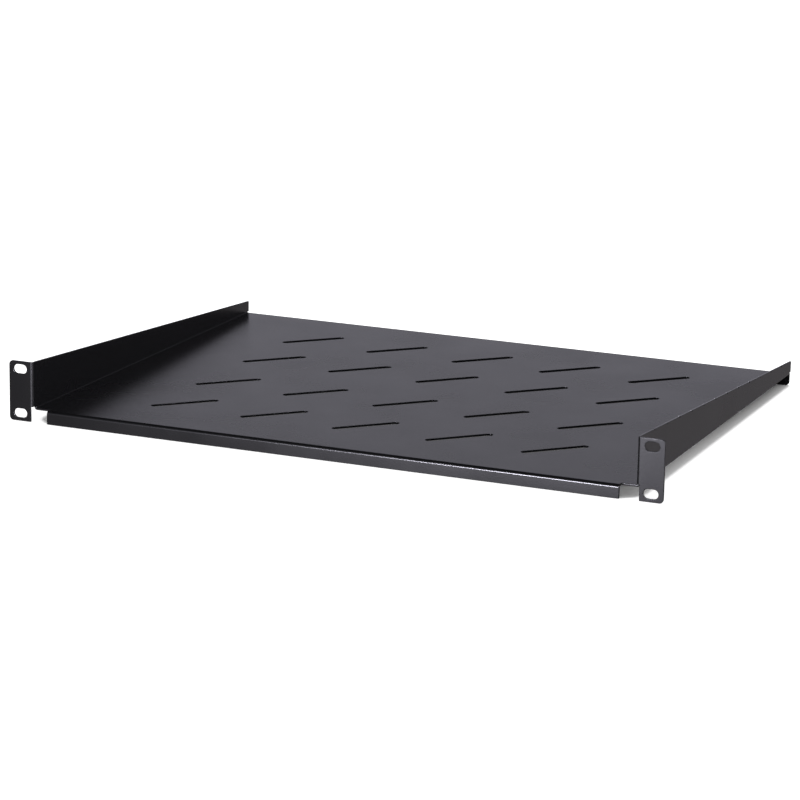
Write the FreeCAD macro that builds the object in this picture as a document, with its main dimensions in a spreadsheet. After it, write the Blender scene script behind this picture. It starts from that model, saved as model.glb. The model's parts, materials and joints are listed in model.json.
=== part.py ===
import FreeCAD, Part
import math
import os
import Sketcher
from enum import IntEnum
from FreeCAD import Vector

# A one-unit rack shelf folded from a single steel sheet: a slotted tray between two tapered
# side walls, two rack ears turned outwards, a lip along the front and a flange along the rear.
#
# Frame: X to the right, Y to the rear, Z up, in millimetres. The origin is the middle of the
# four rack slots, on the plane where the backs of the ears meet the rack's rails.

# Driving dimensions: name, value and what it measures. Lengths are in mm, the angle in degrees.
SIZES = [
    ("sheet", 1.5, "thickness of the steel sheet"),
    ("bend_inside", 0.7, "radius on the inside of every fold"),
    ("panel_width", 482.6, "from the end of one ear to the end of the other"),
    ("panel_height", 43.0, "height of the ears"),
    ("ear_corner", 3.0, "radius of the ears' outer corners"),
    ("rack_slot_inset", 8.75, "from an ear's end to the middle of its rack slots"),
    ("rack_slot_drop", 5.625, "from an ear's top or bottom to the middle of the nearer rack slot"),
    ("rack_slot_length", 10.2, "a rack slot from end to end"),
    ("rack_slot_height", 6.5, "a rack slot from edge to edge"),
    ("ear_reach", 17.5, "from a side wall's outer face to the end of its ear"),
    ("tray_depth", 346.5, "from the backs of the ears to the rear flange's outer face"),
    ("tray_lift", 9.6, "from the bottom of the ears up to the tray's upper face"),
    ("rear_wall_rise", 8.9, "side walls above the tray at the rear"),
    ("lip_setback", 12.6, "ends of the front lip inside the side walls' outer faces"),
    ("lip_advance", 2.5, "the lip's face in front of the backs of the ears"),
    ("notch_depth", 2.5, "the tray's corner notches behind the backs of the ears"),
    ("notch_gap", 0.5, "between the inside of the tray's fold and the notch above it"),
    ("nick_radius", 0.9, "radius of the punch's nicks in the side walls' upper edges"),
    ("nick_margin", 26.0, "from either end of a wall's slope to its nearest nick"),
    ("nick_count", 12, "nicks in each wall"),
    ("flange_setback", 0.5, "ends of the rear flange inside the side walls' outer faces"),
    ("flange_corner", 3.0, "radius of the rear flange's lower corners"),
    ("flange_gap", 1.0, "between the rear flange's ends and the side walls' folds"),
    ("flange_relief", 0.6, "slit between the rear fold's end and the raised end beside it"),
    ("vent_length", 50.0, "a slot in the tray from end to end"),
    ("vent_width", 6.0, "a slot in the tray from edge to edge"),
    ("vent_angle", 45.0, "the slots' lean from the X axis"),
    ("vent_columns", 5, "slots in a row"),
    ("vent_side_margin", 84.4, "from the side walls' outer faces to the outer slots, if unshifted"),
    ("vent_front_margin", 62.0, "from the backs of the ears to the front row of slots"),
    ("vent_rear_margin", 66.0, "from the rear row of slots to the rear flange's outer face"),
    ("row_pitch", 70.0, "between the two rows of a pair"),
    ("vent_shift", 3.5, "the slots' middle to the right of the tray's middle"),
]
ROW_PAIRS = 2

# Places that the features share, written as expressions of the sheet's cells.
BOTTOM = "-Sizes.panel_height / 2"
TOP = "Sizes.panel_height / 2"
BEND_OUTSIDE = "Sizes.bend_inside + Sizes.sheet"
TRAY_TOP = "-Sizes.panel_height / 2 + Sizes.tray_lift"
TRAY_UNDERSIDE = f"{TRAY_TOP} - Sizes.sheet"
NOTCH_TOP = f"{TRAY_TOP} + Sizes.bend_inside + Sizes.notch_gap"
REAR_NOTCH_TOP = f"{TRAY_TOP} + Sizes.bend_inside"
FLANGE_TOP = f"{REAR_NOTCH_TOP} - Sizes.flange_gap"
FLANGE_SHOULDER = f"{TRAY_TOP} - Sizes.bend_inside - Sizes.sheet"
REAR_WALL_TOP = f"{TRAY_TOP} + Sizes.rear_wall_rise"
EAR_END = "Sizes.panel_width / 2"
WALL_OUTSIDE = f"{EAR_END} - Sizes.ear_reach"
WALL_INSIDE = f"{WALL_OUTSIDE} - Sizes.sheet"
EAR_FRONT = "-Sizes.sheet"
EAR_BACK = "0"
EAR_ROOT = f"{WALL_OUTSIDE} + Sizes.bend_inside"
LIP_FACE = "-Sizes.lip_advance"
LIP_END = f"{WALL_OUTSIDE} - Sizes.lip_setback"
NOTCH_REAR = "Sizes.notch_depth"
TRAY_REAR = "Sizes.tray_depth"
SLOPE_RUN = f"({TRAY_REAR} - {NOTCH_REAR})"
SLOPE_FALL = f"({TOP} - ({REAR_WALL_TOP}))"
REAR_FOLD_START = f"{TRAY_REAR} - Sizes.bend_inside - Sizes.sheet"
FLANGE_END = f"{WALL_OUTSIDE} - Sizes.flange_setback"
FLANGE_ROOT_END = f"{WALL_OUTSIDE} - Sizes.bend_inside - Sizes.sheet - Sizes.flange_gap"
TAB_ROOT = f"{FLANGE_ROOT_END} + Sizes.flange_relief"
COLUMN_PITCH = f"(({WALL_OUTSIDE} - Sizes.vent_side_margin) * 2 / (Sizes.vent_columns - 1))"
PAIR_PITCH = f"({TRAY_REAR} - Sizes.vent_front_margin - Sizes.vent_rear_margin - Sizes.row_pitch)"

# The sketch's own origin, as the sketcher numbers it.
ORIGIN = -1


class At(IntEnum):
    """A line's or an arc's own points, as the sketcher numbers them."""

    START = 1
    END = 2
    MIDDLE = 3


def fill_sheet(doc):
    """Write the driving dimensions into the document's spreadsheet."""
    sheet = doc.addObject("Spreadsheet::Sheet", "Sizes")
    for row, (name, value, meaning) in enumerate(SIZES, start=1):
        sheet.set(f"A{row}", meaning)
        sheet.set(f"B{row}", str(value))
        sheet.setAlias(f"B{row}", name)
    doc.recompute()


def add_sketch(body, name, role, offset="0"):
    """Attach a new sketch to one of the body's origin planes, at an offset along its normal."""
    plane = next(item for item in body.Origin.OriginFeatures if item.Role == role)
    sketch = body.newObject("Sketcher::SketchObject", name)
    sketch.AttachmentSupport = [(plane, "")]
    sketch.MapMode = "FlatFace"
    sketch.setExpression("AttachmentOffset.Base.z", offset)
    return sketch


def bind(sketch, constraint, expression):
    """Add a dimension to the sketch and tie it to an expression."""
    index = sketch.addConstraint(constraint)
    name = f"size_{index}"
    sketch.renameConstraint(index, name)
    sketch.setExpression(f"Constraints.{name}", expression)


def bind_across(sketch, geometry, point, expression):
    """Set how far a point lies across from the sketch's origin."""
    value = sketch.evalExpression(expression)
    bind(sketch, Sketcher.Constraint("DistanceX", ORIGIN, At.START, geometry, point, value), expression)


def bind_up(sketch, geometry, point, expression):
    """Set how far a point lies above the sketch's origin."""
    value = sketch.evalExpression(expression)
    bind(sketch, Sketcher.Constraint("DistanceY", ORIGIN, At.START, geometry, point, value), expression)


def add_arc(sketch, centre, radius, start_angle, end_angle):
    """Add an arc that runs anticlockwise from the start angle to the end angle."""
    circle = Part.Circle(centre, Vector(0, 0, 1), radius)
    return sketch.addGeometry(Part.ArcOfCircle(circle, start_angle, end_angle))


def draw_folded_outline(sketch, corners):
    """Close level and upright lines through corners of (across, up, radius).

    A corner whose radius is None stays sharp, and the others are rounded by a tangent arc.
    """
    count = len(corners)
    points = [Vector(sketch.evalExpression(a), sketch.evalExpression(u), 0) for a, u, _ in corners]
    radii = [sketch.evalExpression(radius) if radius else 0 for _, _, radius in corners]
    ways = [(points[(i + 1) % count] - points[i]).normalize() for i in range(count)]
    lines = []
    for i in range(count):
        begin = points[i] + ways[i] * radii[i]
        finish = points[(i + 1) % count] - ways[i] * radii[(i + 1) % count]
        lines.append(sketch.addGeometry(Part.LineSegment(begin, finish)))
    for i, (across, up, radius) in enumerate(corners):
        before = lines[i - 1]
        after = lines[i]
        if radius is None:
            sketch.addConstraint(Sketcher.Constraint("Coincident", before, At.END, after, At.START))
        else:
            round_corner(sketch, points[i], radii[i], ways[i - 1], ways[i], before, after, radius)
        level = up == corners[(i + 1) % count][1]
        if level:
            sketch.addConstraint(Sketcher.Constraint("Horizontal", after))
            bind_up(sketch, after, At.START, up)
        else:
            sketch.addConstraint(Sketcher.Constraint("Vertical", after))
            bind_across(sketch, after, At.START, across)


def round_corner(sketch, corner, radius, way_in, way_out, before, after, expression):
    """Join two lines at a corner with an arc that is tangent to both."""
    turns_left = way_in.cross(way_out).z > 0
    centre = corner + (way_out - way_in) * radius
    enter = corner - way_in * radius - centre
    leave = corner + way_out * radius - centre
    if turns_left:
        first, last = enter, leave
        enter_point, leave_point = At.START, At.END
    else:
        first, last = leave, enter
        enter_point, leave_point = At.END, At.START
    start_angle = math.atan2(first.y, first.x)
    end_angle = math.atan2(last.y, last.x)
    arc = add_arc(sketch, centre, radius, start_angle, end_angle)
    sketch.addConstraint(Sketcher.Constraint("Tangent", before, At.END, arc, enter_point))
    sketch.addConstraint(Sketcher.Constraint("Tangent", after, At.START, arc, leave_point))
    bind(sketch, Sketcher.Constraint("Radius", arc, radius), expression)


def draw_straight_outline(sketch, corners):
    """Close straight lines through corners of (across, up)."""
    count = len(corners)
    points = [Vector(sketch.evalExpression(a), sketch.evalExpression(u), 0) for a, u in corners]
    lines = []
    for i in range(count):
        lines.append(sketch.addGeometry(Part.LineSegment(points[i], points[(i + 1) % count])))
    for i, (across, up) in enumerate(corners):
        sketch.addConstraint(Sketcher.Constraint("Coincident", lines[i - 1], At.END, lines[i], At.START))
        bind_across(sketch, lines[i], At.START, across)
        bind_up(sketch, lines[i], At.START, up)


def draw_slot(sketch, across, up, length, width, angle):
    """Draw a round-ended slot about a middle line that leans by an angle in degrees."""
    middle = Vector(sketch.evalExpression(across), sketch.evalExpression(up), 0)
    radius = sketch.evalExpression(f"({width}) / 2")
    lean = math.radians(sketch.evalExpression(angle))
    reach = sketch.evalExpression(f"({length} - {width}) / 2")
    along = Vector(math.cos(lean), math.sin(lean), 0)
    side = Vector(-along.y, along.x, 0) * radius
    low = middle - along * reach
    high = middle + along * reach
    quarter = math.pi / 2
    spine = sketch.addGeometry(Part.LineSegment(low, high), True)
    centre = sketch.addGeometry(Part.Point(middle), True)
    low_end = add_arc(sketch, low, radius, lean + quarter, lean + 3 * quarter)
    lower_edge = sketch.addGeometry(Part.LineSegment(low - side, high - side))
    high_end = add_arc(sketch, high, radius, lean - quarter, lean + quarter)
    upper_edge = sketch.addGeometry(Part.LineSegment(high + side, low + side))
    sketch.addConstraint(Sketcher.Constraint("Tangent", low_end, At.END, lower_edge, At.START))
    sketch.addConstraint(Sketcher.Constraint("Tangent", lower_edge, At.END, high_end, At.START))
    sketch.addConstraint(Sketcher.Constraint("Tangent", high_end, At.END, upper_edge, At.START))
    sketch.addConstraint(Sketcher.Constraint("Tangent", upper_edge, At.END, low_end, At.START))
    sketch.addConstraint(Sketcher.Constraint("Coincident", spine, At.START, low_end, At.MIDDLE))
    sketch.addConstraint(Sketcher.Constraint("Coincident", spine, At.END, high_end, At.MIDDLE))
    sketch.addConstraint(Sketcher.Constraint("Symmetric", spine, At.START, spine, At.END, centre, At.START))
    bind(sketch, Sketcher.Constraint("Radius", low_end, radius), f"({width}) / 2")
    bind(sketch, Sketcher.Constraint("Distance", spine, 2 * reach), f"{length} - {width}")
    if lean == 0:
        sketch.addConstraint(Sketcher.Constraint("Horizontal", spine))
    else:
        bind(sketch, Sketcher.Constraint("Angle", spine, lean), f"({angle}) * 1 deg")
    bind_across(sketch, centre, At.START, across)
    bind_up(sketch, centre, At.START, up)


def pad(body, name, sketch, length, side="One side", reverse=False):
    """Raise a sketch into a solid that joins the body."""
    feature = body.newObject("PartDesign::Pad", name)
    feature.Profile = sketch
    feature.SideType = side
    feature.Reversed = reverse
    feature.setExpression("Length", length)
    body.Document.recompute()
    return feature


def cut(body, name, sketch, side="One side", reverse=False):
    """Cut a sketch all the way through the body, and make sure that it removes metal."""
    volume_before = body.Shape.Volume
    feature = body.newObject("PartDesign::Pocket", name)
    feature.Profile = sketch
    feature.SideType = side
    feature.Type = "ThroughAll"
    feature.Reversed = reverse
    body.Document.recompute()
    if not feature.Shape.Volume < volume_before:
        raise RuntimeError(f"{name} removes nothing")
    return feature


def fold_tray(body):
    """Raise the tray and its two side walls as one folded channel."""
    section = add_sketch(body, "tray_section", "XZ_Plane", "-Sizes.bend_inside")
    draw_folded_outline(section, [
        (f"-({WALL_OUTSIDE})", TOP, None),
        (f"-({WALL_OUTSIDE})", TRAY_UNDERSIDE, BEND_OUTSIDE),
        (WALL_OUTSIDE, TRAY_UNDERSIDE, BEND_OUTSIDE),
        (WALL_OUTSIDE, TOP, None),
        (WALL_INSIDE, TOP, None),
        (WALL_INSIDE, TRAY_TOP, "Sizes.bend_inside"),
        (f"-({WALL_INSIDE})", TRAY_TOP, "Sizes.bend_inside"),
        (f"-({WALL_INSIDE})", TOP, None),
    ])
    pad(body, "tray_channel", section, f"{TRAY_REAR} - Sizes.bend_inside", reverse=True)


def taper_walls(body):
    """Slope the side walls' upper edges from the ears' folds down to the rear."""
    outline = add_sketch(body, "taper_outline", "YZ_Plane")
    draw_straight_outline(outline, [
        (NOTCH_REAR, TOP),
        (TRAY_REAR, REAR_WALL_TOP),
        (f"{TRAY_REAR} + Sizes.sheet", REAR_WALL_TOP),
        (f"{TRAY_REAR} + Sizes.sheet", f"{TOP} + Sizes.sheet"),
        (NOTCH_REAR, f"{TOP} + Sizes.sheet"),
    ])
    cut(body, "wall_taper", outline, side="Symmetric")


def nick_walls(body):
    """Leave the small nicks of the punch along the slopes, where one stroke met the next."""
    outline = add_sketch(body, "nick_outline", "YZ_Plane")
    front = Vector(outline.evalExpression(NOTCH_REAR), outline.evalExpression(TOP), 0)
    rear = Vector(outline.evalExpression(TRAY_REAR), outline.evalExpression(REAR_WALL_TOP), 0)
    slope = outline.addGeometry(Part.LineSegment(front, rear), True)
    bind_across(outline, slope, At.START, NOTCH_REAR)
    bind_up(outline, slope, At.START, TOP)
    bind_across(outline, slope, At.END, TRAY_REAR)
    bind_up(outline, slope, At.END, REAR_WALL_TOP)
    share = outline.evalExpression(f"Sizes.nick_margin / {SLOPE_RUN}")
    radius = outline.evalExpression("Sizes.nick_radius")
    nick = outline.addGeometry(Part.Circle(front + (rear - front) * share, Vector(0, 0, 1), radius))
    outline.addConstraint(Sketcher.Constraint("PointOnObject", nick, At.MIDDLE, slope))
    bind_across(outline, nick, At.MIDDLE, f"{NOTCH_REAR} + Sizes.nick_margin")
    bind(outline, Sketcher.Constraint("Radius", nick, radius), "Sizes.nick_radius")
    first_nick = cut(body, "first_nick", outline, side="Symmetric")

    row = body.newObject("PartDesign::LinearPattern", "nick_row")
    row.Originals = [first_nick]
    row.Direction = (outline, ["Axis0"])
    row.Mode = "Extent"
    row.setExpression("Length", f"sqrt({SLOPE_RUN} ^ 2 + {SLOPE_FALL} ^ 2)"
                                f" * (1 - 2 * Sizes.nick_margin / {SLOPE_RUN})")
    row.setExpression("Occurrences", "Sizes.nick_count")
    body.Tip = row
    body.Document.recompute()


def notch_front(body):
    """Clear the tray's front corners below the ears' folds."""
    strip = add_sketch(body, "front_strip", "XY_Plane", NOTCH_TOP)
    draw_straight_outline(strip, [
        (f"-({EAR_END})", EAR_FRONT),
        (EAR_END, EAR_FRONT),
        (EAR_END, NOTCH_REAR),
        (f"-({EAR_END})", NOTCH_REAR),
    ])
    cut(body, "front_notches", strip)


def notch_rear(body):
    """Clear the tray's rear edge, where its flange is folded down between the side walls."""
    strip = add_sketch(body, "rear_strip", "XY_Plane", REAR_NOTCH_TOP)
    draw_straight_outline(strip, [
        (f"-({EAR_END})", REAR_FOLD_START),
        (EAR_END, REAR_FOLD_START),
        (EAR_END, f"{TRAY_REAR} + Sizes.sheet"),
        (f"-({EAR_END})", f"{TRAY_REAR} + Sizes.sheet"),
    ])
    cut(body, "rear_notches", strip)


def fold_lip(body):
    """Fold the front lip down between the two corner notches."""
    section = add_sketch(body, "lip_section", "YZ_Plane")
    draw_folded_outline(section, [
        (LIP_FACE, BOTTOM, None),
        (f"{LIP_FACE} + Sizes.sheet", BOTTOM, None),
        (f"{LIP_FACE} + Sizes.sheet", TRAY_UNDERSIDE, "Sizes.bend_inside"),
        (NOTCH_REAR, TRAY_UNDERSIDE, None),
        (NOTCH_REAR, TRAY_TOP, None),
        (LIP_FACE, TRAY_TOP, BEND_OUTSIDE),
    ])
    pad(body, "front_lip", section, f"2 * ({LIP_END})", side="Symmetric")


def fold_rear_flange(body):
    """Fold the tray's rear edge down, short of the side walls' folds."""
    section = add_sketch(body, "rear_section", "YZ_Plane")
    draw_folded_outline(section, [
        (TRAY_REAR, f"{FLANGE_SHOULDER} - Sizes.sheet", None),
        (TRAY_REAR, TRAY_TOP, BEND_OUTSIDE),
        (f"{REAR_FOLD_START} - Sizes.sheet", TRAY_TOP, None),
        (f"{REAR_FOLD_START} - Sizes.sheet", TRAY_UNDERSIDE, None),
        (f"{TRAY_REAR} - Sizes.sheet", TRAY_UNDERSIDE, "Sizes.bend_inside"),
        (f"{TRAY_REAR} - Sizes.sheet", f"{FLANGE_SHOULDER} - Sizes.sheet", None),
    ])
    pad(body, "rear_fold", section, f"2 * ({FLANGE_ROOT_END})", side="Symmetric")


def shape_flange_ends(body):
    """Give the flange its full length, with rounded lower corners and raised ends."""
    face = add_sketch(body, "flange_face", "XZ_Plane", f"-({TRAY_REAR})")
    draw_folded_outline(face, [
        (f"-({FLANGE_END})", BOTTOM, "Sizes.flange_corner"),
        (FLANGE_END, BOTTOM, "Sizes.flange_corner"),
        (FLANGE_END, FLANGE_TOP, None),
        (TAB_ROOT, FLANGE_TOP, None),
        (TAB_ROOT, FLANGE_SHOULDER, None),
        (f"-({TAB_ROOT})", FLANGE_SHOULDER, None),
        (f"-({TAB_ROOT})", FLANGE_TOP, None),
        (f"-({FLANGE_END})", FLANGE_TOP, None),
    ])
    pad(body, "rear_flange", face, "Sizes.sheet")


def fold_ears(body):
    """Turn an ear outwards from the right wall, pierce it, and mirror it to the left wall."""
    section = add_sketch(body, "ear_section", "XY_Plane", NOTCH_TOP)
    draw_folded_outline(section, [
        (WALL_INSIDE, EAR_FRONT, BEND_OUTSIDE),
        (f"{EAR_ROOT} + Sizes.sheet", EAR_FRONT, None),
        (f"{EAR_ROOT} + Sizes.sheet", EAR_BACK, None),
        (WALL_OUTSIDE, EAR_BACK, "Sizes.bend_inside"),
        (WALL_OUTSIDE, NOTCH_REAR, None),
        (WALL_INSIDE, NOTCH_REAR, None),
    ])
    fold = pad(body, "ear_fold", section, f"{TOP} - ({NOTCH_TOP})")

    outline = add_sketch(body, "ear_outline", "XZ_Plane")
    draw_folded_outline(outline, [
        (EAR_ROOT, BOTTOM, None),
        (EAR_END, BOTTOM, "Sizes.ear_corner"),
        (EAR_END, TOP, "Sizes.ear_corner"),
        (EAR_ROOT, TOP, None),
    ])
    plate = pad(body, "ear_plate", outline, "Sizes.sheet")

    slots = add_sketch(body, "rack_slot_outlines", "XZ_Plane")
    for side in ("", "-"):
        draw_slot(slots, f"{EAR_END} - Sizes.rack_slot_inset", f"{side}({TOP} - Sizes.rack_slot_drop)",
                  "Sizes.rack_slot_length", "Sizes.rack_slot_height", "0")
    piercing = cut(body, "rack_slots", slots, reverse=True)

    mirror = body.newObject("PartDesign::Mirrored", "left_ear")
    mirror.Originals = [fold, plate, piercing]
    plane = next(item for item in body.Origin.OriginFeatures if item.Role == "YZ_Plane")
    mirror.MirrorPlane = (plane, [""])
    body.Tip = mirror
    body.Document.recompute()


def pierce_tray(body):
    """Punch the slanted slots: one slot of each row in a pair, repeated along and across."""
    outlines = add_sketch(body, "vent_outlines", "XY_Plane", TRAY_TOP)
    first_column = f"Sizes.vent_shift + Sizes.vent_side_margin - ({WALL_OUTSIDE})"
    for row in ("Sizes.vent_front_margin", "Sizes.vent_front_margin + Sizes.row_pitch"):
        draw_slot(outlines, first_column, row, "Sizes.vent_length", "Sizes.vent_width", "Sizes.vent_angle")
    first_slots = cut(body, "vent_slots", outlines)

    field = body.newObject("PartDesign::LinearPattern", "vent_field")
    field.Originals = [first_slots]
    field.Direction = (outlines, ["H_Axis"])
    field.Mode = "Spacing"
    field.setExpression("Offset", COLUMN_PITCH)
    field.setExpression("Occurrences", "Sizes.vent_columns")
    field.Direction2 = (outlines, ["V_Axis"])
    field.Mode2 = "Extent"
    field.setExpression("Length2", f"{ROW_PAIRS - 1} * {PAIR_PITCH}")
    field.Occurrences2 = ROW_PAIRS
    body.Tip = field
    body.Document.recompute()


def check_document(doc, body):
    """Stop if any feature failed, or if the shelf isn't one valid solid."""
    for item in doc.Objects:
        if "Invalid" in item.State or "Error" in item.State:
            raise RuntimeError(f"{item.Name} failed: {item.State}")
    shape = body.Shape
    if shape.isNull() or not shape.isValid() or len(shape.Solids) != 1:
        raise RuntimeError(f"{body.Label} isn't one valid solid")


def main():
    """Build the shelf and write its shape."""
    doc = FreeCAD.newDocument("rack_shelf")
    fill_sheet(doc)
    body = doc.addObject("PartDesign::Body", "folded_shelf")
    body.Label = "folded_shelf"
    doc.recompute()
    fold_tray(body)
    taper_walls(body)
    nick_walls(body)
    notch_front(body)
    notch_rear(body)
    fold_lip(body)
    fold_rear_flange(body)
    shape_flange_ends(body)
    fold_ears(body)
    pierce_tray(body)
    body.Placement = FreeCAD.Placement()
    doc.recompute()
    check_document(doc, body)
    os.makedirs("parts", exist_ok=True)
    body.Shape.exportStep(f"parts/{body.Label}.step")
    box = body.Shape.BoundBox
    print(f"{body.Label}: {box.XLength:.2f} x {box.YLength:.2f} x {box.ZLength:.2f} mm")
    print(f"volume {body.Shape.Volume:.1f} mm3, {len(body.Shape.Faces)} faces")


main()
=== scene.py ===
"""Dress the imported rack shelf: fold its sheet, round its edges, coat it, light it and frame it.

Every length is in metres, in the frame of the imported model: X to the right, Y into the rack and
Z up, with the origin in the middle of the four rack slots, on the backs of the ears.
"""
import json
import logging
import math
from dataclasses import dataclass
from enum import Enum

import bmesh
import bpy
from mathutils import Matrix, Vector


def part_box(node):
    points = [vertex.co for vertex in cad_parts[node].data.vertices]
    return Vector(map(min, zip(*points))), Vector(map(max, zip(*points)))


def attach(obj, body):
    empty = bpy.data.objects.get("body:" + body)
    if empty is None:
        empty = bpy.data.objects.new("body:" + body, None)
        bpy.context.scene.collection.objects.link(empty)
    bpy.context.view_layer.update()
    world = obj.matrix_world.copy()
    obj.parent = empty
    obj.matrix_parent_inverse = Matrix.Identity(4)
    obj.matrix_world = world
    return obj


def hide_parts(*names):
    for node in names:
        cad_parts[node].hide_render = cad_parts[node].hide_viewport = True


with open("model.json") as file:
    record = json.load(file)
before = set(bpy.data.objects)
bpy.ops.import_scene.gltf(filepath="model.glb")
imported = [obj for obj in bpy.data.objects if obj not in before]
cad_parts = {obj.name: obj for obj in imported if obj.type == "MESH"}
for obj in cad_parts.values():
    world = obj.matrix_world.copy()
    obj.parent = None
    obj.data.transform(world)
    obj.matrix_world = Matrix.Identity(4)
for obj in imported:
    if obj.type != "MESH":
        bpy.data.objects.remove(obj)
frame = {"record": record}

MM = 0.001
NEAR = 0.01 * MM
FAR_AWAY = 100.0
COOL_WHITE = (1.02, 1.0, 1.14)

Span = tuple[float, float]
Triple = tuple[float, float, float]
Value = float | bpy.types.NodeSocket

log = logging.getLogger("rack_shelf")


class Part(Enum):
    """What an edit-mode step chooses."""

    EDGES = "EDGE"
    FACES = "FACE"


class Way(Enum):
    """The way a punch goes through the sheet, as the turn from upright."""

    ACROSS = (0.0, math.pi / 2)
    DEEP = (math.pi / 2, 0.0)
    UP = (0.0, 0.0)


@dataclass(frozen=True)
class Region:
    """A box that picks the parts of a mesh that lie wholly inside it.

    Args:
        x: Lowest and highest X.
        y: Lowest and highest Y.
        z: Lowest and highest Z.
    """

    x: Span = (-FAR_AWAY, FAR_AWAY)
    y: Span = (-FAR_AWAY, FAR_AWAY)
    z: Span = (-FAR_AWAY, FAR_AWAY)

    def holds(self, point: Vector) -> bool:
        """Say whether a point lies in the box.

        Args:
            point: A vertex's place.

        Returns:
            True if the point is inside or on the box.
        """
        spans = (self.x, self.y, self.z)
        return all(low - NEAR <= value <= high + NEAR for value, (low, high) in zip(point, spans))


def at(place: float) -> Span:
    """Give the span that holds a single place."""
    return (place, place)


@dataclass
class Workpiece:
    """One mesh on the bench, shaped in edit mode by operators.

    Args:
        piece: The object whose mesh is shaped.
    """

    piece: bpy.types.Object

    def choose(self, part: Part, *regions: Region) -> None:
        """Select the edges or faces that lie in any of the regions, and nothing else.

        Args:
            part: Edges or faces.
            regions: Boxes, any of which may hold the part.
        """
        bpy.ops.mesh.select_mode(type=part.value)
        bpy.ops.mesh.select_all(action="DESELECT")
        shape = bmesh.from_edit_mesh(self.piece.data)
        items = shape.edges if part is Part.EDGES else shape.faces
        for item in items:
            item.select_set(any(all(region.holds(v.co) for v in item.verts) for region in regions))
        bmesh.update_edit_mesh(self.piece.data)

    def choose_sharp(self, angle: float, region: Region) -> None:
        """Select the edges in a region that turn by more than an angle, and nothing else.

        Args:
            angle: The least turn between an edge's two faces.
            region: The box that holds the edges.
        """
        self.choose(Part.EDGES, region)
        shape = bmesh.from_edit_mesh(self.piece.data)
        for edge in shape.edges:
            edge.select_set(edge.select and edge.calc_face_angle(0.0) > angle)
        bmesh.update_edit_mesh(self.piece.data)

    def pull(self, x: float = 0.0, y: float = 0.0, z: float = 0.0) -> None:
        """Extrude the chosen edges by a step.

        Args:
            x: Step along X.
            y: Step along Y.
            z: Step along Z.
        """
        bpy.ops.mesh.extrude_edges_move(TRANSFORM_OT_translate={"value": (x, y, z)})

    def dissolve(self, *regions: Region) -> None:
        """Merge the flat faces on both sides of the edges in the regions.

        Args:
            regions: Boxes that hold the edges.
        """
        self.choose(Part.EDGES, *regions)
        bpy.ops.mesh.dissolve_edges(use_verts=True)

    def split(self, through: Vector, normal: Vector, drop_outer: bool = False) -> None:
        """Cut the chosen faces along a plane.

        Args:
            through: A point on the plane.
            normal: The plane's normal.
            drop_outer: Whether what lies on the normal's side is thrown away.
        """
        bpy.ops.mesh.bisect(plane_co=through, plane_no=normal, clear_outer=drop_outer, threshold=NEAR)

    def weld(self) -> None:
        """Merge the vertices that lie on each other."""
        bpy.ops.mesh.select_all(action="SELECT")
        bpy.ops.mesh.remove_doubles(threshold=NEAR)


def start_piece(name: str) -> Workpiece:
    """Name the object that an operator has just added.

    Args:
        name: The piece's name.

    Returns:
        The piece on the bench.
    """
    piece = bpy.context.active_object
    piece.name = name
    piece.data.name = name
    return Workpiece(piece)


def clear_choice() -> None:
    """Deselect every object."""
    bpy.ops.object.select_all(action="DESELECT")


def take_up(piece: bpy.types.Object) -> None:
    """Select one object alone and make it the active one.

    Args:
        piece: The object.
    """
    clear_choice()
    piece.select_set(True)
    bpy.context.view_layer.objects.active = piece


def settle(piece: bpy.types.Object) -> None:
    """Put an object's place, turn and scale into its mesh.

    Args:
        piece: The object, which ends at the origin.
    """
    take_up(piece)
    bpy.ops.object.transform_apply(location=True, rotation=True, scale=True)


def apply_modifier(piece: bpy.types.Object, kind: str, **settings: object) -> None:
    """Add a modifier, set it up and apply it.

    Args:
        piece: The object that it works on.
        kind: The modifier's type.
        settings: Its properties by name.
    """
    take_up(piece)
    modifier = piece.modifiers.new(kind.lower(), kind)
    for name, value in settings.items():
        setattr(modifier, name, value)
    bpy.ops.object.modifier_apply(modifier=modifier.name)


@dataclass(frozen=True)
class SlotPunch:
    """A round-ended or wholly round punch and the pattern in which it strikes.

    Args:
        length: The slot from end to end.
        width: The slot from edge to edge.
        first: Middle of the first slot.
        through: The way that the punch goes through the sheet.
        lean: Angle of the slot from the X axis.
        steps: For each repeat, the step and the count.
        reach: The punch's own height.
        end_segments: Facets in a quarter turn.
    """

    length: float
    width: float
    first: Triple
    through: Way
    lean: float = 0.0
    steps: tuple[tuple[Triple, int], ...] = ()
    reach: float = 6 * MM
    end_segments: int = 10

    def strike(self, sheet: bpy.types.Object) -> None:
        """Punch all the slots of the pattern out of the sheet.

        Args:
            sheet: The thick, closed sheet.
        """
        clear_choice()
        bpy.ops.mesh.primitive_cube_add(size=1)
        punch = start_piece("slot_punch")
        bpy.ops.transform.resize(value=(self.length, self.width, self.reach))
        settle(punch.piece)
        bpy.ops.object.mode_set(mode="EDIT")
        half_length = self.length / 2
        half_width = self.width / 2
        corners = [
            Region(x=at(side * half_length), y=at(end * half_width)) for side in (-1, 1) for end in (-1, 1)
        ]
        punch.choose(Part.EDGES, *corners)
        bpy.ops.mesh.bevel(
            offset=half_width, segments=self.end_segments, affect="EDGES", clamp_overlap=False
        )
        punch.weld()
        bpy.ops.object.mode_set(mode="OBJECT")
        punch.piece.rotation_euler = (*self.through.value, self.lean)
        punch.piece.location = self.first
        settle(punch.piece)
        for step, count in self.steps:
            apply_modifier(
                punch.piece, "ARRAY", count=count, use_relative_offset=False, use_constant_offset=True,
                constant_offset_displace=step,
            )
        apply_modifier(sheet, "BOOLEAN", operation="DIFFERENCE", solver="EXACT", object=punch.piece)
        bpy.data.objects.remove(punch.piece)


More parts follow.
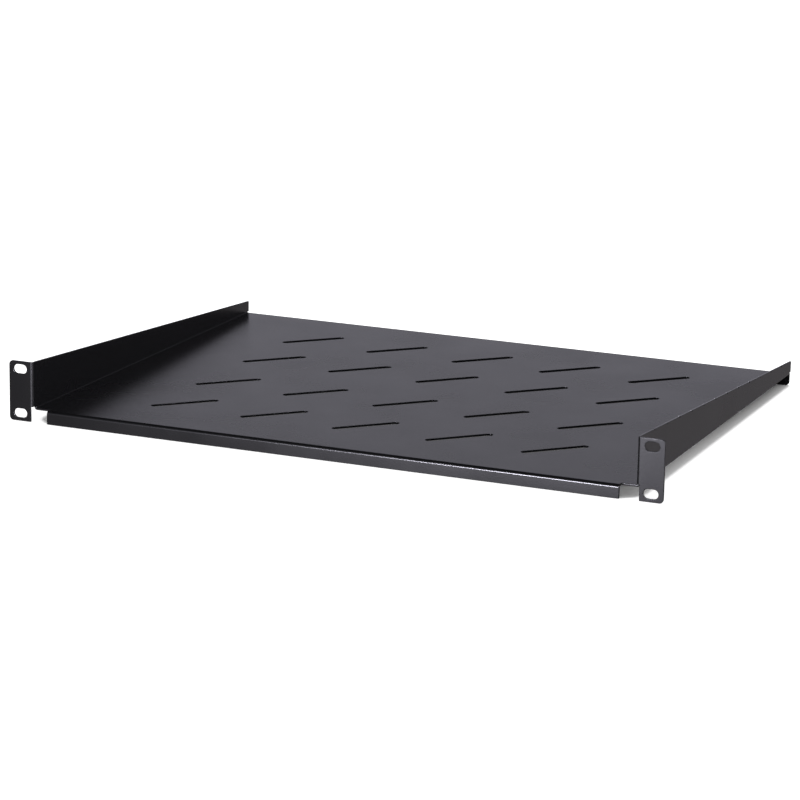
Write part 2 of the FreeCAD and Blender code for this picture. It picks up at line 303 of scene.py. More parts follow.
@dataclass(frozen=True)
class PowderCoat:
    """Fine-grained black powder coat, satin and slightly uneven.

    Args:
        colour: Linear base colour.
        roughness: Mean roughness.
        roughness_spread: How far the roughness wanders either way.
        grain_size: Size of the coat's fine grains.
        grain_height: Height of the fine grains.
        grain_layers: Number of finer layers in the grains.
        peel_size: Size of the soft waves that the coat flows into.
        peel_height: Height of those waves.
        peel_layers: Number of finer layers in the waves.
        patch_size: Size of the patches over which the roughness wanders.
        patch_layers: Number of finer layers in the patches.
        layer_share: Strength of each finer layer beside the one before it.
        noise_span: The noise's values at the least and the greatest roughness.
        refraction: Index of refraction.
        name: The material's name.
    """

    colour: Triple
    roughness: float = 0.265
    roughness_spread: float = 0.02
    grain_size: float = 0.9 * MM
    grain_height: float = 0.014 * MM
    grain_layers: float = 3.0
    peel_size: float = 2.6 * MM
    peel_height: float = 0.010 * MM
    peel_layers: float = 2.0
    patch_size: float = 60 * MM
    patch_layers: float = 3.0
    layer_share: float = 0.55
    noise_span: Span = (0.3, 0.7)
    refraction: float = 1.5
    name: str = "black_powder_coat"

    def make(self) -> bpy.types.Material:
        """Build the coat's material.

        Returns:
            The material.
        """
        material = bpy.data.materials.new(self.name)
        material.use_nodes = True
        tree = material.node_tree
        shader = tree.nodes["Principled BSDF"]
        shader.inputs["Base Color"].default_value = (*self.colour, 1.0)
        shader.inputs["IOR"].default_value = self.refraction
        place = tree.nodes.new("ShaderNodeTexCoord")
        grain = self._noise(tree, place, self.grain_size, self.grain_layers)
        peel = self._noise(tree, place, self.peel_size, self.peel_layers)
        patches = self._noise(tree, place, self.patch_size, self.patch_layers)
        self._drive_roughness(tree, patches, shader)
        lower = self._bump(tree, peel, self.peel_height)
        upper = self._bump(tree, grain, self.grain_height)
        tree.links.new(lower.outputs["Normal"], upper.inputs["Normal"])
        tree.links.new(upper.outputs["Normal"], shader.inputs["Normal"])
        return material

    def _noise(
        self, tree: bpy.types.NodeTree, place: bpy.types.Node, size: float, layers: float
    ) -> bpy.types.Node:
        """Add a noise whose features have about the given size.

        Args:
            tree: The material's nodes.
            place: The texture coordinate node.
            size: Size of a feature.
            layers: Number of finer layers.

        Returns:
            The noise node.
        """
        noise = tree.nodes.new("ShaderNodeTexNoise")
        noise.inputs["Scale"].default_value = 1.0 / size
        noise.inputs["Detail"].default_value = layers
        noise.inputs["Roughness"].default_value = self.layer_share
        tree.links.new(place.outputs["Object"], noise.inputs["Vector"])
        return noise

    def _bump(self, tree: bpy.types.NodeTree, noise: bpy.types.Node, height: float) -> bpy.types.Node:
        """Add a bump that follows a noise.

        Args:
            tree: The material's nodes.
            noise: The noise node.
            height: Height from the lowest to the highest point.

        Returns:
            The bump node.
        """
        bump = tree.nodes.new("ShaderNodeBump")
        bump.inputs["Strength"].default_value = 1.0
        bump.inputs["Distance"].default_value = height
        tree.links.new(noise.outputs["Fac"], bump.inputs["Height"])
        return bump

    def _drive_roughness(
        self, tree: bpy.types.NodeTree, noise: bpy.types.Node, shader: bpy.types.Node
    ) -> None:
        """Let the roughness wander with a noise.

        Args:
            tree: The material's nodes.
            noise: The noise node.
            shader: The surface shader.
        """
        spread = tree.nodes.new("ShaderNodeMapRange")
        spread.inputs["From Min"].default_value = self.noise_span[0]
        spread.inputs["From Max"].default_value = self.noise_span[1]
        spread.inputs["To Min"].default_value = self.roughness - self.roughness_spread
        spread.inputs["To Max"].default_value = self.roughness + self.roughness_spread
        tree.links.new(noise.outputs["Fac"], spread.inputs["Value"])
        tree.links.new(spread.outputs["Result"], shader.inputs["Roughness"])


@dataclass
class FoldedShelf:
    """The whole shelf: one steel sheet with folds, slots, ears, a lip and a flange.

    Args:
        low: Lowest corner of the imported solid.
        high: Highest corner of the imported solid.
        node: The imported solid's name.
        thickness: Thickness of the sheet.
        inside_radius: Radius on the inside of every fold.
        fold_segments: Facets in a fold or in a corner of the blank.
        tray_width: The tray over the side walls' outer faces.
        tray_lift: From the ears' lower edge up to the tray's upper face.
        rear_wall_rise: The side walls above the tray, at the rear.
        ear_corner: Radius of the ears' outer corners.
        lip_length: The front lip from end to end.
        notch_depth: How far the front notches run behind the backs of the ears.
        notch_gap: Straight side wall between its fold and the top of the notch.
        flange_setback: Ends of the rear flange inside the side walls' outer faces.
        flange_corner: Radius of the rear flange's lower corners.
        flange_gap: Gap between the rear flange, with its tabs, and the side walls.
        relief: The slit between the rear fold's end and the tab beside it.
        ears: Number of ears.
        rack_slots_per_ear: Slots in each ear.
        rack_slot_span: Between the slots of the two ears.
        rack_slot_rise: Between the two slots of an ear.
        rack_slot_length: A rack slot from end to end.
        rack_slot_height: A rack slot from edge to edge.
        vent_length: A slot in the tray from end to end.
        vent_width: A slot in the tray from edge to edge.
        vent_lean: The tray slots' angle from the X axis.
        vent_columns: Slots in a row.
        vent_rows: Rows in a pair.
        vent_pairs: Pairs of rows.
        column_pitch: Between the slots of a row.
        first_row: From the backs of the ears to the first row.
        row_pitch: Between the two rows of a pair.
        pair_pitch: Between the pairs.
        vent_shift: Middle of the slots to the right of the tray's middle.
        vent_border: Plain sheet kept free of slots along the front and the rear.
        nick_radius: Radius of the nicks in the side walls' top edges.
        nick_margin: From either end of a wall's slope to its nearest nick.
        nick_count: Nicks in each wall.
        nick_segments: Facets in a quarter turn of a nick.
        nick_overshoot: The nick punch beyond the walls, both ends together.
        edge_radius: Radius of the rounded cut edges.
        edge_segments: Facets across a rounded edge.
        vent_edge_radius: Radius of the tray slots' rounded edges.
        vent_edge_segments: Facets across one of those.
        sharp_angle: The least turn of an edge that is rounded.
        smooth_angle: The greatest turn between faces that are shaded as one.
        normal_weight: How strongly large faces set the shading.
    """

    low: Vector
    high: Vector
    node: str = "folded_shelf"
    thickness: float = 1.5 * MM
    inside_radius: float = 0.7 * MM
    fold_segments: int = 10
    tray_width: float = 447.6 * MM
    tray_lift: float = 9.6 * MM
    rear_wall_rise: float = 8.9 * MM
    ear_corner: float = 3.0 * MM
    lip_length: float = 422.4 * MM
    notch_depth: float = 2.5 * MM
    notch_gap: float = 0.5 * MM
    flange_setback: float = 0.5 * MM
    flange_corner: float = 3.0 * MM
    flange_gap: float = 1.0 * MM
    relief: float = 0.6 * MM
    ears: int = 2
    rack_slots_per_ear: int = 2
    rack_slot_span: float = 465.1 * MM
    rack_slot_rise: float = 31.75 * MM
    rack_slot_length: float = 10.2 * MM
    rack_slot_height: float = 6.5 * MM
    vent_length: float = 50.0 * MM
    vent_width: float = 6.0 * MM
    vent_lean: float = math.radians(45.0)
    vent_columns: int = 5
    vent_rows: int = 2
    vent_pairs: int = 2
    column_pitch: float = 69.7 * MM
    first_row: float = 62.0 * MM
    row_pitch: float = 70.0 * MM
    pair_pitch: float = 148.5 * MM
    vent_shift: float = 3.5 * MM
    vent_border: float = 10.0 * MM
    nick_radius: float = 0.9 * MM
    nick_margin: float = 26.0 * MM
    nick_count: int = 12
    nick_segments: int = 4
    nick_overshoot: float = 6.0 * MM
    edge_radius: float = 0.38 * MM
    edge_segments: int = 4
    vent_edge_radius: float = 0.12 * MM
    vent_edge_segments: int = 2
    sharp_angle: float = math.radians(50.0)
    smooth_angle: float = math.radians(35.0)
    normal_weight: int = 50

    def __post_init__(self) -> None:
        """Work out the places that several folds share, on the sheet's middle surface."""
        half = self.thickness / 2
        self.radius = self.inside_radius + half
        self.wall = self.tray_width / 2 - half
        self.tray = self.low.z + self.tray_lift - half
        self.lip = self.low.y + half
        self.ear = -half
        self.ear_root = self.wall + self.radius
        self.flange = self.high.y - half
        self.fold_rear = self.flange - self.radius
        self.shoulder = self.tray - self.radius
        self.wall_root = self.tray + self.radius
        self.notch_top = self.wall_root + self.notch_gap
        self.wall_rear_top = self.low.z + self.tray_lift + self.rear_wall_rise
        self.flange_root = self.wall - self.radius - self.flange_gap
        self.flange_end = self.tray_width / 2 - self.flange_setback
        self.flange_top = self.wall_root - self.flange_gap

    def build(self, coat: bpy.types.Material) -> bpy.types.Object:
        """Make the shelf and dress it.

        Args:
            coat: The powder coat's material.

        Returns:
            The finished piece.
        """
        work = self.lay_blank()
        self.fold_lip(work)
        self.fold_flange(work)
        self.raise_wall(work)
        self.turn_ear(work)
        self.taper_wall(work)
        self.mirror(work)
        self.round_folds(work)
        self.thicken(work)
        self.punch_ears(work.piece)
        self.round_edges(work.piece)
        self.punch_tray(work.piece)
        self.round_vents(work)
        self.nick_walls(work.piece)
        self.smooth(work.piece)
        work.piece.data.materials.clear()
        work.piece.data.materials.append(coat)
        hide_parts(self.node)
        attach(work.piece, "root")
        return work.piece

    def lay_blank(self) -> Workpiece:
        """Lay down the right half of the tray, split where the lip and the flange end.

        Returns:
            The piece on the bench, in edit mode.
        """
        clear_choice()
        middle = (self.notch_depth + self.fold_rear) / 2
        bpy.ops.mesh.primitive_plane_add(size=1, location=(self.wall / 2, middle, self.tray))
        work = start_piece("powder_coated_shelf")
        bpy.ops.transform.resize(value=(self.wall, self.fold_rear - self.notch_depth, 1))
        settle(work.piece)
        bpy.ops.object.mode_set(mode="EDIT")
        for place in (self.lip_length / 2, self.flange_root):
            bpy.ops.mesh.select_all(action="SELECT")
            work.split(Vector((place, 0, 0)), Vector((1, 0, 0)))
        return work

    def fold_lip(self, work: Workpiece) -> None:
        """Draw the lip out of the tray's front edge and turn it down.

        Args:
            work: The piece on the bench.
        """
        work.choose(Part.EDGES, Region(x=(0, self.lip_length / 2), y=at(self.notch_depth)))
        work.pull(y=self.lip - self.notch_depth)
        work.pull(z=self.low.z - self.tray)

    def fold_flange(self, work: Workpiece) -> None:
        """Turn the tray's rear edge down into the flange, and raise a tab at the flange's end.

        Args:
            work: The piece on the bench.
        """
        plate = at(self.flange)
        below = (self.low.z, self.shoulder)
        work.choose(Part.EDGES, Region(x=(0, self.flange_root), y=at(self.fold_rear)))
        work.pull(y=self.radius)
        work.pull(z=-self.radius)
        work.pull(z=self.low.z - self.shoulder)
        work.choose(Part.EDGES, Region(x=at(self.flange_root), y=plate, z=below))
        work.pull(x=self.relief)
        tab_root = self.flange_root + self.relief
        work.pull(x=self.flange_end - tab_root)
        tab = Region(x=(tab_root, self.flange_end), y=plate, z=at(self.shoulder))
        work.choose(Part.EDGES, tab)
        work.pull(z=self.flange_top - self.shoulder)
        upright_seams = (self.lip_length / 2, self.flange_root, tab_root)
        work.dissolve(*[Region(x=at(seam), y=plate, z=below) for seam in upright_seams])
        work.dissolve(tab)
        corner = Region(x=at(self.flange_end), y=plate, z=at(self.low.z))
        self.round_corners(work, self.flange_corner, corner)

    def raise_wall(self, work: Workpiece) -> None:
        """Raise the side wall from the tray's edge and run it on to the rear.

        Args:
            work: The piece on the bench.
        """
        side = at(self.wall)
        work.choose(Part.EDGES, Region(x=side, z=at(self.tray)))
        work.pull(z=self.radius)
        work.pull(z=self.notch_gap)
        work.pull(z=self.high.z - self.notch_top)
        rear = Region(x=side, y=at(self.fold_rear), z=(self.wall_root, self.high.z))
        work.choose(Part.EDGES, rear)
        work.pull(y=self.high.y - self.fold_rear)

    def turn_ear(self, work: Workpiece) -> None:
        """Run the wall on to the front and turn the ear outwards.

        Args:
            work: The piece on the bench.
        """
        front = Region(x=at(self.wall), y=at(self.notch_depth), z=(self.notch_top, self.high.z))
        work.choose(Part.EDGES, front)
        work.pull(y=self.ear + self.radius - self.notch_depth)
        work.pull(y=-self.radius)
        work.pull(x=self.radius)
        work.pull(x=self.high.x - self.ear_root)
        flat = at(self.ear)
        lower_edge = Region(x=(self.ear_root, self.high.x), y=flat, z=at(self.notch_top))
        work.choose(Part.EDGES, lower_edge)
        work.pull(z=self.low.z - self.notch_top)
        work.dissolve(lower_edge)
        corners = [Region(x=at(self.high.x), y=flat, z=at(end)) for end in (self.low.z, self.high.z)]
        self.round_corners(work, self.ear_corner, *corners)

    def round_corners(self, work: Workpiece, radius: float, *corners: Region) -> None:
        """Round flat corners of the blank.

        Args:
            work: The piece on the bench.
            radius: The corners' radius.
            corners: Boxes that each hold one corner.
        """
        bpy.ops.mesh.select_mode(type="VERT")
        bpy.ops.mesh.select_all(action="DESELECT")
        shape = bmesh.from_edit_mesh(work.piece.data)
        for vertex in shape.verts:
            vertex.select_set(any(corner.holds(vertex.co) for corner in corners))
        bmesh.update_edit_mesh(work.piece.data)
        bpy.ops.mesh.bevel(offset=radius, segments=self.fold_segments, affect="VERTICES")

    def taper_wall(self, work: Workpiece) -> None:
        """Slope the wall's top from the ear's fold down to the rear.

        Args:
            work: The piece on the bench.
        """
        run = self.high.y - self.notch_depth
        fall = self.high.z - self.wall_rear_top
        work.choose(Part.FACES, Region(x=at(self.wall), y=(self.notch_depth, self.high.y)))
        through = Vector((self.wall, self.notch_depth, self.high.z))
        work.split(through, Vector((0, fall, run)).normalized(), drop_outer=True)

    def mirror(self, work: Workpiece) -> None:
        """Add the left half and merge the two halves into one sheet.

        Args:
            work: The piece on the bench.
        """
        bpy.ops.object.mode_set(mode="OBJECT")
        apply_modifier(work.piece, "MIRROR", merge_threshold=NEAR)
        bpy.ops.object.mode_set(mode="EDIT")
        work.dissolve(Region(x=at(0.0)))

    def round_folds(self, work: Workpiece) -> None:
        """Turn each sharp fold into a round one.

        Args:
            work: The piece on the bench.
        """
        tray = at(self.tray)
        folds = [Region(y=at(self.lip), z=tray), Region(y=at(self.flange), z=tray)]
        for side in (-self.wall, self.wall):
            folds.append(Region(x=at(side), z=tray))
            folds.append(Region(x=at(side), y=at(self.ear)))
        work.choose(Part.EDGES, *folds)
        bpy.ops.mesh.bevel(
            offset=self.radius, segments=self.fold_segments, affect="EDGES", clamp_overlap=False
        )
        work.weld()
        bpy.ops.mesh.normals_make_consistent(inside=False)
        bpy.ops.object.mode_set(mode="OBJECT")

    def thicken(self, work: Workpiece) -> None:
        """Give the sheet its thickness, half to each side of the middle surface.

        Args:
            work: The piece on the bench.
        """
        apply_modifier(work.piece, "SOLIDIFY", thickness=self.thickness, offset=0.0, use_even_offset=True)
        bpy.ops.object.mode_set(mode="EDIT")
        work.weld()
        bpy.ops.mesh.normals_make_consistent(inside=False)
        bpy.ops.object.mode_set(mode="OBJECT")

    def punch_ears(self, sheet: bpy.types.Object) -> None:
        """Punch the level slots of the ears.

        Args:
            sheet: The thick sheet.
        """
        rack_slots = SlotPunch(
            length=self.rack_slot_length, width=self.rack_slot_height, through=Way.DEEP,
            first=(-self.rack_slot_span / 2, self.ear, -self.rack_slot_rise / 2),
            steps=(
                ((self.rack_slot_span, 0, 0), self.ears),
                ((0, 0, self.rack_slot_rise), self.rack_slots_per_ear),
            ),
        )
        rack_slots.strike(sheet)

    def punch_tray(self, sheet: bpy.types.Object) -> None:
        """Punch the tray's slanted slots.

        Args:
            sheet: The thick sheet.
        """
        first_column = self.vent_shift - (self.vent_columns - 1) * self.column_pitch / 2
        vents = SlotPunch(
            length=self.vent_length, width=self.vent_width, through=Way.UP, lean=self.vent_lean,
            first=(first_column, self.first_row, self.tray),
            steps=(
                ((self.column_pitch, 0, 0), self.vent_columns),
                ((0, self.row_pitch, 0), self.vent_rows),
                ((0, self.pair_pitch, 0), self.vent_pairs),
            ),
        )
        vents.strike(sheet)

    def nick_walls(self, sheet: bpy.types.Object) -> None:
        """Punch the row of small nicks in the sloping top edges of both walls.

        Args:
            sheet: The thick sheet.
        """
        run = self.high.y - self.notch_depth
        slope = (self.wall_rear_top - self.high.z) / run
        pitch = (run - 2 * self.nick_margin) / (self.nick_count - 1)
        nicks = SlotPunch(
            length=2 * self.nick_radius, width=2 * self.nick_radius, through=Way.ACROSS,
            first=(0.0, self.notch_depth + self.nick_margin, self.high.z + slope * self.nick_margin),
            steps=(((0.0, pitch, slope * pitch), self.nick_count),),
            reach=self.tray_width + self.nick_overshoot, end_segments=self.nick_segments,
        )
        nicks.strike(sheet)

    def round_edges(self, sheet: bpy.types.Object) -> None:
        """Round the cut edges.

        Args:
            sheet: The thick sheet.
        """
        apply_modifier(
            sheet, "BEVEL", width=self.edge_radius, segments=self.edge_segments, limit_method="ANGLE",
            angle_limit=self.sharp_angle, use_clamp_overlap=False, harden_normals=False,
        )

    def round_vents(self, work: Workpiece) -> None:
        """Round the edges of the tray's slots a little.

        Args:
            work: The punched sheet.
        """
        take_up(work.piece)
        bpy.ops.object.mode_set(mode="EDIT")
        field = Region(
            x=(-self.lip_length / 2, self.lip_length / 2),
            y=(self.low.y + self.vent_border, self.high.y - self.vent_border),
            z=(self.tray - self.thickness, self.tray + self.thickness),
        )
        work.choose_sharp(self.sharp_angle, field)
        bpy.ops.mesh.bevel(
            offset=self.vent_edge_radius, segments=self.vent_edge_segments, affect="EDGES",
            clamp_overlap=False,
        )
        bpy.ops.object.mode_set(mode="OBJECT")

    def smooth(self, sheet: bpy.types.Object) -> None:
        """Shade the folds and the rounded edges smoothly.

        Args:
            sheet: The finished sheet.
        """
        take_up(sheet)
        bpy.ops.object.shade_smooth_by_angle(angle=self.smooth_angle)
        apply_modifier(sheet, "WEIGHTED_NORMAL", keep_sharp=True, weight=self.normal_weight)


@dataclass(frozen=True)
class Viewpoint:
    """The camera at the photograph's place.

    Args:
        aim: The point in the middle of the picture.
        distance: From the camera to that point.
        azimuth: Turn of the view to the left of the Y axis, in degrees.
        elevation: How far the camera looks down, in degrees.
        roll: Turn of the camera about its own axis, in degrees.
        lens: Focal length in millimetres.
        sensor: Width of the sensor in millimetres.
        nearest: The least distance that the camera draws.
        name: The camera's name.
    """

    aim: Triple = (12.4177 * MM, 101.0716 * MM, -1.5 * MM)
    distance: float = 2270.8274 * MM
    azimuth: float = 22.8046
    elevation: float = 14.2142
    roll: float = 1.0159
    lens: float = 146.136
    sensor: float = 36.0
    nearest: float = 0.1
    name: str = "photo_camera"

    def place(self) -> bpy.types.Object:
        """Add the camera and make it the scene's.

        Returns:
            The camera.
        """
        turn = math.radians(self.azimuth)
        fall = math.radians(self.elevation)
        tilt = math.radians(self.roll)
        forward = Vector((
            -math.sin(turn) * math.cos(fall), math.cos(turn) * math.cos(fall), -math.sin(fall)
        ))
        level = Vector((math.cos(turn), math.sin(turn), 0.0))
        upward = level.cross(forward)
        right = math.cos(tilt) * level + math.sin(tilt) * upward
        above = math.cos(tilt) * upward - math.sin(tilt) * level
        data = bpy.data.cameras.new(self.name)
        data.lens = self.lens
        data.sensor_width = self.sensor
        data.clip_start = self.nearest
        data.clip_end = FAR_AWAY
        camera = bpy.data.objects.new(self.name, data)
        bpy.context.scene.collection.objects.link(camera)
        turned = Matrix((right, above, -forward)).transposed().to_4x4()
        place = Vector(self.aim) - forward * self.distance
        camera.matrix_world = Matrix.Translation(place) @ turned
        bpy.context.scene.camera = camera
        return camera


class Rays(Enum):
    """The rays that a stage material tells apart, as outputs of the Light Path node."""

    CAMERA = "Is Camera Ray"
    GLOSSY = "Is Glossy Ray"
    TRANSMITTED = "Is Transmission Ray"


@dataclass
class Wiring:
    """Node building for the stage, where every value is a number or another node's output.

    Args:
        tree: The nodes of a stage material or of the world.
    """

    tree: bpy.types.NodeTree

    def compute(self, operation: str, *values: Value) -> bpy.types.NodeSocket:
        """Add a math node.

        Args:
            operation: What it computes.
            values: Its inputs in their order.

        Returns:
            Its output.
        """
        node = self.tree.nodes.new("ShaderNodeMath")
        node.operation = operation
        for socket, value in zip(node.inputs, values):
            self.feed(socket, value)
        return node.outputs[0]

    def blend(
        self, share: bpy.types.NodeSocket, low: Value, high: Value, start: float = 0.0, end: float = 1.0
    ) -> bpy.types.NodeSocket:
        """Pass softly from one value to another.

        Args:
            share: What steers the blend.
            low: The value at the start.
            high: The value at the end.
            start: The share at which the blend starts.
            end: The share at which it ends.

        Returns:
            The blended value.
        """
        node = self.tree.nodes.new("ShaderNodeMapRange")
        node.interpolation_type = "SMOOTHSTEP"
        names = ("Value", "From Min", "From Max", "To Min", "To Max")
        for name, value in zip(names, (share, start, end, low, high)):
            self.feed(node.inputs[name], value)
        return node.outputs["Result"]

    def feed(self, socket: bpy.types.NodeSocket, value: Value) -> None:
        """Link a socket to an output, or give it a number.

        Args:
            socket: The input.
            value: An output or a number.
        """
        if isinstance(value, bpy.types.NodeSocket):
            self.tree.links.new(value, socket)
        else:
            socket.default_value = value

    def tinge(self, share: bpy.types.NodeSocket, tint: Triple) -> bpy.types.NodeSocket:
        """Pass from white to a tint.

        Args:
            share: What steers the change.
            tint: The colour at a share of 1.

        Returns:
            The colour.
        """
        colour = self.tree.nodes.new("ShaderNodeCombineColor")
        for channel, value in zip(colour.inputs, tint):
            self.feed(channel, self.blend(share, 1.0, value))
        return colour.outputs[0]

    def take_apart(self, output: str) -> bpy.types.NodeOutputs:
        """Split a texture coordinate into X, Y and Z.

        Args:
            output: The Texture Coordinate node's output.

        Returns:
            The three numbers by name.
        """
        place = self.tree.nodes.new("ShaderNodeTexCoord")
        split = self.tree.nodes.new("ShaderNodeSeparateXYZ")
        self.feed(split.inputs[0], place.outputs[output])
        return split.outputs

    def seen_by(self, *rays: Rays) -> bpy.types.NodeSocket:
        """Tell some kinds of ray from the rest.

        Args:
            rays: The kinds.

        Returns:
            1 for rays of these kinds and 0 for others.
        """
        path = self.tree.nodes.new("ShaderNodeLightPath")
        found = path.outputs[rays[0].value]
        for ray in rays[1:]:
            found = self.compute("MAXIMUM", found, path.outputs[ray.value])
        return found


@dataclass(frozen=True)
class Floor:
    """The white floor. It keeps the shelf's real shadow, adds a painted shadow under the shelf drawn by
    its emission, and adds a painted reflection that only the coat's gloss sees.

    Args:
        low: Lowest corner of the shelf.
        high: Highest corner of the shelf.
        side: The floor's side.
        colour: Grey value of the floor.
        painted_shade_lift: Painted light inside the painted shadow: white added under the shelf's front.
        shade_span: Along Y, where that painted light begins to fade and where it ends.
        wall_share: What is left of that painted light right under the walls.
        wall_reach: How far in from the walls that painted light is whole again.
        deep: How far in from the walls the space under the tray is left black, as painted shade.
        open_lift: White added in the open, outside the painted shadow.
        mirrored: Painted reflection: the white that only the coat's gloss sees on the floor beside the
            shelf.
        mirrored_front: Painted reflection: the white that only the coat's gloss sees in front of the
            shelf.
        front_span: Along Y, where the one passes into the other.
        tint: The colour of the painted reflection.
        edge: How far to each side of the shelf's walls the white fades into the painted shadow.
        ear_reach: How far the ears stand out beyond the walls.
        corner: Radius of the painted shadow's front corners.
    """

    low: Vector
    high: Vector
    side: float = 24.0
    colour: float = 0.92
    painted_shade_lift: float = 0.12
    shade_span: Span = (80 * MM, 360 * MM)
    wall_share: float = 0.5
    wall_reach: float = 14.0 * MM
    deep: float = 36.0 * MM
    open_lift: float = 0.60
    mirrored: float = 0.25
    mirrored_front: float = 0.15
    front_span: Span = (-20 * MM, 40 * MM)
    tint: Triple = (1.03, 0.97, 1.02)
    edge: float = 2.0 * MM
    ear_reach: float = 17.5 * MM
    corner: float = 22.0 * MM

    def lay(self) -> bpy.types.Object:
        """Add the floor.

        Returns:
            The floor.
        """
        clear_choice()
        bpy.ops.mesh.primitive_plane_add(size=self.side, location=(0, 0, self.low.z))
        floor = start_piece("floor").piece
        settle(floor)
        floor.data.materials.append(self.paint())
        return floor

    def paint(self) -> bpy.types.Material:
        """Build the floor's material, white with a painted shadow under the shelf and a painted reflection
        for the coat's gloss.

        Returns:
            The material.
        """
        material = bpy.data.materials.new("floor_white_painted_shade")
        material.use_nodes = True
        wiring = Wiring(material.node_tree)
        shader = material.node_tree.nodes["Principled BSDF"]
        shader.inputs["Roughness"].default_value = 1.0
        shader.inputs["Specular IOR Level"].default_value = 0.0
        wiring.feed(shader.inputs["Base Color"], self.tone(wiring))
        # Painted reflection: glossy rays see the emission in a tint, and other rays see it white.
        wiring.feed(shader.inputs["Emission Color"], wiring.tinge(wiring.seen_by(Rays.GLOSSY), self.tint))
        wiring.feed(shader.inputs["Emission Strength"], self.lift(wiring))
        return material

    def tone(self, wiring: Wiring) -> bpy.types.NodeSocket:
        """Leave the light that falls on the floor out of the coat's reflections.

        Args:
            wiring: The material's nodes.

        Returns:
            The floor's grey value.
        """
        return wiring.blend(wiring.seen_by(Rays.GLOSSY), self.colour, 0.0)

    def lift(self, wiring: Wiring) -> bpy.types.NodeSocket:
        """Whiten the floor where it is background, outside the space under the shelf, and paint the shade
        under it: a painted shadow, black deep under the tray and lighter under its front and walls, and a
        painted reflection of white floor that only the coat's gloss sees.

        Args:
            wiring: The material's nodes.

        Returns:
            The strength of the added white, with the painted shadow and painted reflection in it.
        """
        place = wiring.take_apart("Object")
        # Painted shadow: the emission follows the distance from the space under the shelf.
        distance = self.measure(wiring, place)
        front = wiring.blend(place["Y"], self.painted_shade_lift, 0.0, *self.shade_span)
        least = wiring.compute("MULTIPLY", front, self.wall_share)
        shaded = wiring.blend(distance, front, least, -self.wall_reach, 0.0)
        under = wiring.blend(distance, 0.0, shaded, -self.deep, -self.deep / 2)
        added = wiring.blend(distance, under, self.open_lift, -self.edge, self.edge)
        # Painted reflection: white that only glossy rays see, beside and in front of the shelf, and none
        # under it.
        mirrored = wiring.blend(place["Y"], self.mirrored_front, self.mirrored, *self.front_span)
        mirrored = wiring.blend(distance, 0.0, mirrored, -self.edge, self.edge)
        added = wiring.blend(wiring.seen_by(Rays.GLOSSY), added, mirrored)
        return wiring.compute("MULTIPLY", added, wiring.seen_by(*Rays))

    def measure(self, wiring: Wiring, place: bpy.types.NodeOutputs) -> bpy.types.NodeSocket:
        """Measure how far a place on the floor lies outside the space under the tray, which is the mask of
        the painted shadow.

        Args:
            wiring: The material's nodes.
            place: The place's X and Y.

        Returns:
            The distance, which is less than 0 under the tray.
        """
        wall = self.high.x - self.ear_reach
        across = wiring.compute("ABSOLUTE", place["X"])
        aside = wiring.compute("SUBTRACT", across, wall - self.corner)
        ahead = wiring.compute("SUBTRACT", self.low.y + self.corner, place["Y"])
        overs = [wiring.compute("MAXIMUM", over, 0.0) for over in (aside, ahead)]
        squares = [wiring.compute("POWER", over, 2.0) for over in overs]
        around = wiring.compute("SQRT", wiring.compute("ADD", *squares))
        around = wiring.compute("SUBTRACT", around, self.corner)
        behind = wiring.compute("SUBTRACT", place["Y"], self.high.y)
        return wiring.compute("MAXIMUM", around, behind)


@dataclass(frozen=True)
class Panel:
    """A soft-edged bright part of the studio, in degrees.

    Azimuths run from straight behind the shelf, and are positive to its right.

    Args:
        strength: Its brightness.
        left: Azimuths between which it begins.
        right: Azimuths between which it ends.
        bottom: Elevations between which it begins.
        top: Elevations between which it ends.
    """

    strength: float
    left: Span
    right: Span
    bottom: Span
    top: Span

    def draw(
        self, wiring: Wiring, azimuth: bpy.types.NodeSocket, elevation: bpy.types.NodeSocket
    ) -> bpy.types.NodeSocket:
        """Draw the panel in the world's nodes.

        Args:
            wiring: The world's nodes.
            azimuth: The ray's azimuth.
            elevation: The ray's elevation.

        Returns:
            The panel's brightness in the direction of the ray.
        """
        shares = []
        for angle, rise, fall in ((azimuth, self.left, self.right), (elevation, self.bottom, self.top)):
            shares.append(wiring.blend(angle, 0.0, 1.0, *map(math.radians, rise)))
            shares.append(wiring.blend(angle, 1.0, 0.0, *map(math.radians, fall)))
        share = shares[0]
        for other in shares[1:]:
            share = wiring.compute("MULTIPLY", share, other)
        return wiring.compute("MULTIPLY", share, self.strength)


BELOW = (-91.0, -90.0)
PANELS = (
    Panel(0.70, left=(-66.0, -54.0), right=(-6.0, 6.0), bottom=BELOW, top=(-4.0, 42.0)),
    Panel(0.15, left=(0.0, 12.0), right=(50.0, 80.0), bottom=BELOW, top=(10.0, 60.0)),
    Panel(0.40, left=(50.0, 80.0), right=(181.0, 182.0), bottom=BELOW, top=(10.0, 50.0)),
    Panel(0.40, left=(-182.0, -181.0), right=(-80.0, -60.0), bottom=BELOW, top=(10.0, 50.0)),
)


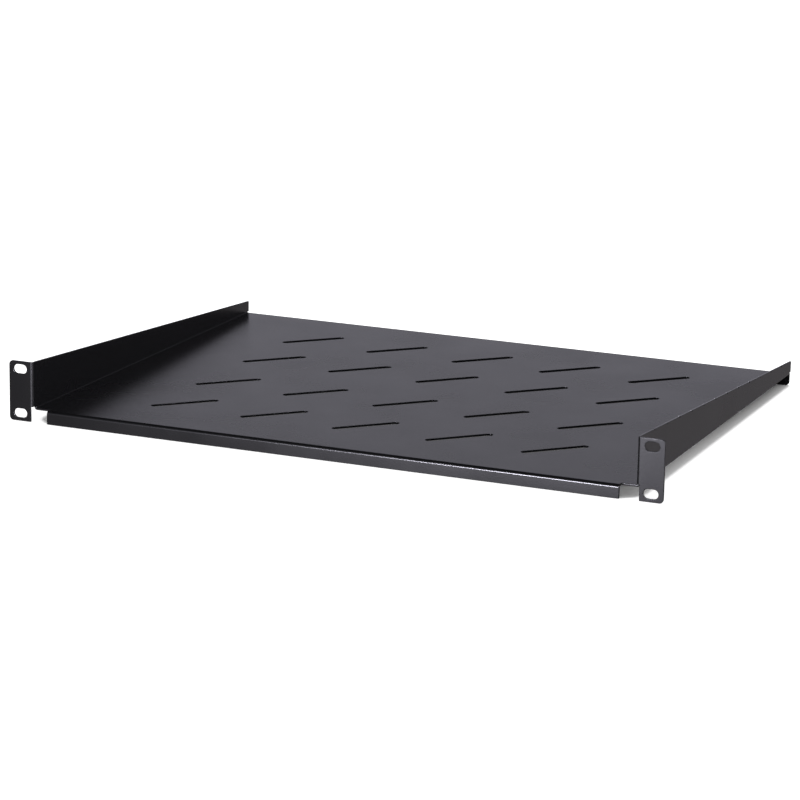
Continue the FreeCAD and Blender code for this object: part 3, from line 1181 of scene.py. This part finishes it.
@dataclass(frozen=True)
class Surround:
    """The studio: white to the eye, and mirrored as a dark room with a few bright panels.

    Args:
        level: Its strength as a light on surfaces that don't shine.
        dark: The room's strength between the panels, in reflections.
        tint: The room's colour in reflections.
    """

    level: float = 1.0
    dark: float = 0.008
    tint: Triple = COOL_WHITE

    def hang(self) -> None:
        """Set the world up as the surround."""
        world = bpy.data.worlds.new("surround")
        bpy.context.scene.world = world
        world.use_nodes = True
        wiring = Wiring(world.node_tree)
        background = world.node_tree.nodes["Background"]
        shine = wiring.seen_by(Rays.GLOSSY, Rays.TRANSMITTED)
        wiring.feed(background.inputs["Color"], wiring.tinge(shine, self.tint))
        strength = wiring.blend(shine, self.level, self.mirrored(wiring))
        strength = wiring.blend(wiring.seen_by(Rays.CAMERA), strength, 1.0)
        wiring.feed(background.inputs["Strength"], strength)
        world.cycles.sampling_method = "NONE"

    def mirrored(self, wiring: Wiring) -> bpy.types.NodeSocket:
        """Draw the studio that the coat mirrors.

        Args:
            wiring: The world's nodes.

        Returns:
            The brightness in the direction of the ray.
        """
        way = wiring.take_apart("Generated")
        azimuth = wiring.compute("ARCTAN2", way["X"], way["Y"])
        elevation = wiring.compute("ARCSINE", way["Z"])
        bright = self.dark
        for panel in PANELS:
            bright = wiring.compute("ADD", panel.draw(wiring, azimuth, elevation), bright)
        return bright


@dataclass(frozen=True)
class Softbox:
    """A rectangular lamp that only shows in the coat's gloss.

    Args:
        name: The lamp's name.
        place: Where it stands.
        size: Its width and height.
        power: Its power in watts.
        aim: The point that it faces.
        colour: The colour of its light.
    """

    name: str
    place: Triple
    size: tuple[float, float]
    power: float
    aim: Triple = (0.1, 0.0, 0.0)
    colour: Triple = COOL_WHITE

    def hang(self) -> bpy.types.Object:
        """Add the lamp.

        Returns:
            The lamp.
        """
        data = bpy.data.lights.new(self.name, "AREA")
        data.shape = "RECTANGLE"
        data.size, data.size_y = self.size
        data.energy = self.power
        data.color = self.colour
        lamp = bpy.data.objects.new(self.name, data)
        bpy.context.scene.collection.objects.link(lamp)
        lamp.visible_diffuse = False
        lamp.location = self.place
        away = Vector(self.place) - Vector(self.aim)
        lamp.rotation_euler = away.to_track_quat("Z", "Y").to_euler()
        return lamp


LAMPS = (
    Softbox("front_softbox", place=(-0.16, -1.0, 0.022), size=(0.26, 0.07), power=16.0),
    Softbox(
        "side_softbox", place=(0.78, -0.65, 0.04), size=(0.5, 0.1), power=6.0, aim=(-0.2, 0.0, 0.0)
    ),
)


def main() -> None:
    """Build the shelf and its set, piece by piece."""
    logging.basicConfig(level=logging.INFO, format="%(name)s: %(message)s")
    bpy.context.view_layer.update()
    low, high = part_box("folded_shelf")
    clear_choice()
    view = bpy.context.scene.view_settings
    view.view_transform = "Standard"

    camera = Viewpoint().place()
    log.info("camera at %s", [round(value, 4) for value in camera.location])
    colour = frame["record"]["materials"][0]["base_color"]
    coat = PowderCoat(colour=tuple(colour)).make()
    shelf = FoldedShelf(low=low, high=high).build(coat)
    log.info("%s: %d faces", shelf.name, len(shelf.data.polygons))
    floor = Floor(low, high).lay()
    log.info("%s laid at %.4f", floor.name, low.z)
    Surround().hang()
    for lamp in LAMPS:
        lamp.hang()
        log.info("%s hung", lamp.name)


if __name__ == "__main__":
    main()
